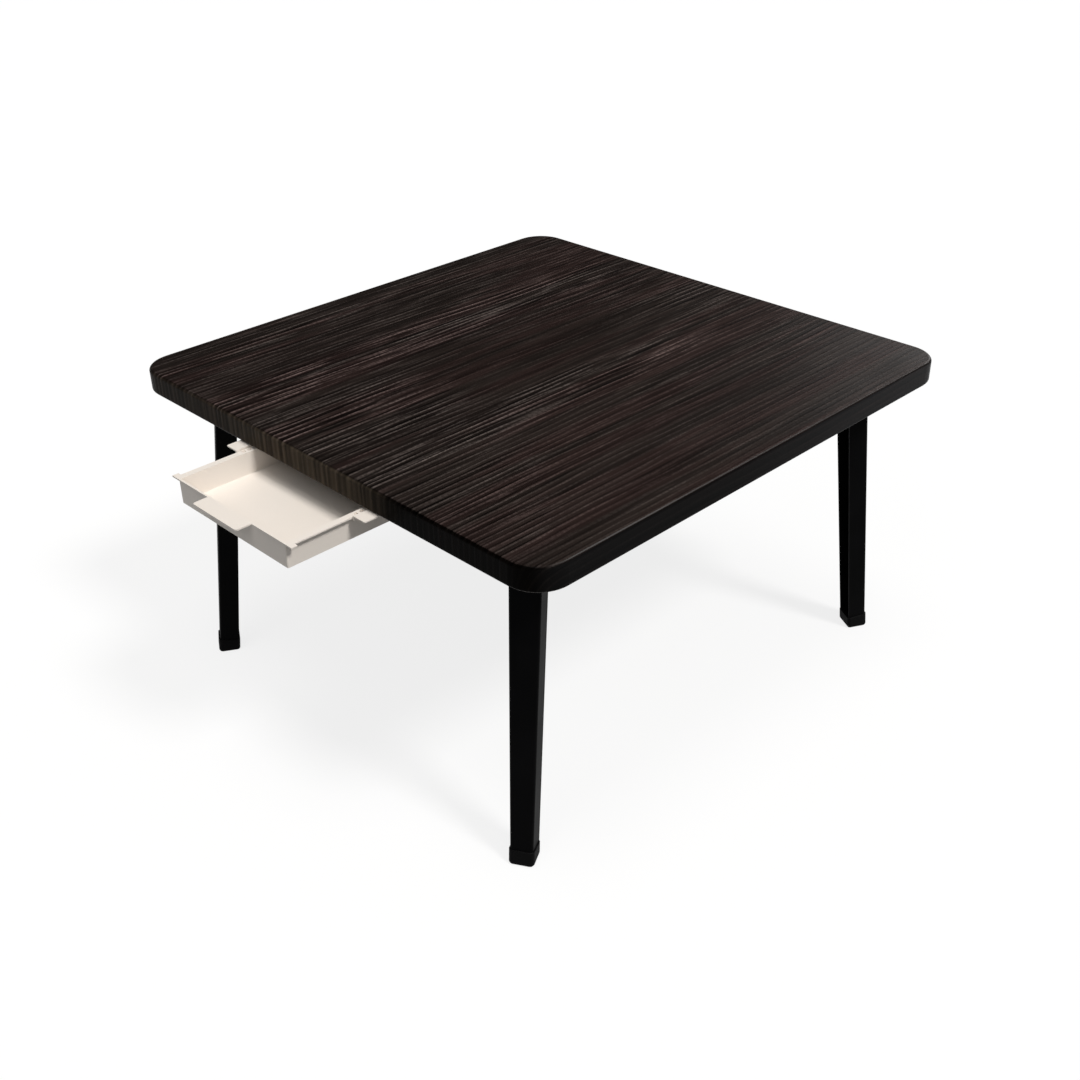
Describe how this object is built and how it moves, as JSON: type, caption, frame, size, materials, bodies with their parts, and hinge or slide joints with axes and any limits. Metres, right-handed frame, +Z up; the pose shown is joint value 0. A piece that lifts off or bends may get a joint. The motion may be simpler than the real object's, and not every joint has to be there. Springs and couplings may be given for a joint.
{
  "type": "folding low table with drawer",
  "caption": "Low square floor table with a dark wood-foil top, folding steel legs with plastic foot caps and a slim cream tray that slides in rails under its front edge.",
  "frame": {"origin": "centre of the table top's upper face", "axes": "+Z up, square to the upper face; -Y towards the side where the tray opens; +X to the right of a person who faces the tray"},
  "size_m": [0.6, 0.699, 0.35],
  "materials": {
    "wood_foil": "satin black-brown foil printed and embossed with straight wood grain along Y",
    "board_backing": "matt dark backing paper on wood-fibre board",
    "black_enamel": "semi-matt black powder coat on pressed steel",
    "black_rubbery_plastic": "matt moulded black plastic",
    "cream_plastic": "satin cream moulded plastic",
    "zinc_steel": "bright zinc plate",
    "spring_steel": "oiled blue-grey spring steel",
    "nylon": "natural white nylon"
  },
  "bodies": {
    "table": {"top_board": "board_backing", "top_foil": "wood_foil", "leg_bracket_front_left": "black_enamel", "bracket_screws_front_left": "zinc_steel", "hinge_pin_front_left": "zinc_steel", "hinge_washers_front_left": "nylon", "leg_spring_front_left": "spring_steel", "spring_rivet_front_left": "zinc_steel", "leg_bracket_front_right": "black_enamel", "bracket_screws_front_right": "zinc_steel", "hinge_pin_front_right": "zinc_steel", "hinge_washers_front_right": "nylon", "leg_spring_front_right": "spring_steel", "spring_rivet_front_right": "zinc_steel", "leg_bracket_back_right": "black_enamel", "bracket_screws_back_right": "zinc_steel", "hinge_pin_back_right": "zinc_steel", "hinge_washers_back_right": "nylon", "leg_spring_back_right": "spring_steel", "spring_rivet_back_right": "zinc_steel", "leg_bracket_back_left": "black_enamel", "bracket_screws_back_left": "zinc_steel", "hinge_pin_back_left": "zinc_steel", "hinge_washers_back_left": "nylon", "leg_spring_back_left": "spring_steel", "spring_rivet_back_left": "zinc_steel", "drawer_rail_left": "cream_plastic", "rail_screws_left": "zinc_steel", "drawer_rail_right": "cream_plastic", "rail_screws_right": "zinc_steel"},
    "front_left_leg": {"leg_front_left": "black_enamel", "foot_cap_front_left": "black_rubbery_plastic"},
    "front_right_leg": {"leg_front_right": "black_enamel", "foot_cap_front_right": "black_rubbery_plastic"},
    "back_right_leg": {"leg_back_right": "black_enamel", "foot_cap_back_right": "black_rubbery_plastic"},
    "back_left_leg": {"leg_back_left": "black_enamel", "foot_cap_back_left": "black_rubbery_plastic"},
    "drawer": {"drawer_tray": "cream_plastic"}
  },
  "joints": [
    {"name": "fold_front_left", "type": "hinge", "parent": "table", "child": "front_left_leg", "pos_m": [-0.23, -0.2427, -0.04], "axis": [0.866, -0.5, 0], "range_deg": [0, 90]},
    {"name": "fold_front_right", "type": "hinge", "parent": "table", "child": "front_right_leg", "pos_m": [0.23, -0.2427, -0.04], "axis": [0.866, 0.5, 0], "range_deg": [0, 90]},
    {"name": "fold_back_right", "type": "hinge", "parent": "table", "child": "back_right_leg", "pos_m": [0.23, 0.2427, -0.04], "axis": [-0.866, 0.5, 0], "range_deg": [0, 96]},
    {"name": "fold_back_left", "type": "hinge", "parent": "table", "child": "back_left_leg", "pos_m": [-0.23, 0.2427, -0.04], "axis": [-0.866, -0.5, 0], "range_deg": [0, 96]},
    {"name": "drawer_slide", "type": "slide", "parent": "table", "child": "drawer", "axis": [0, -1, 0], "range_m": [-0.0615, 0.0395]}
  ]
}
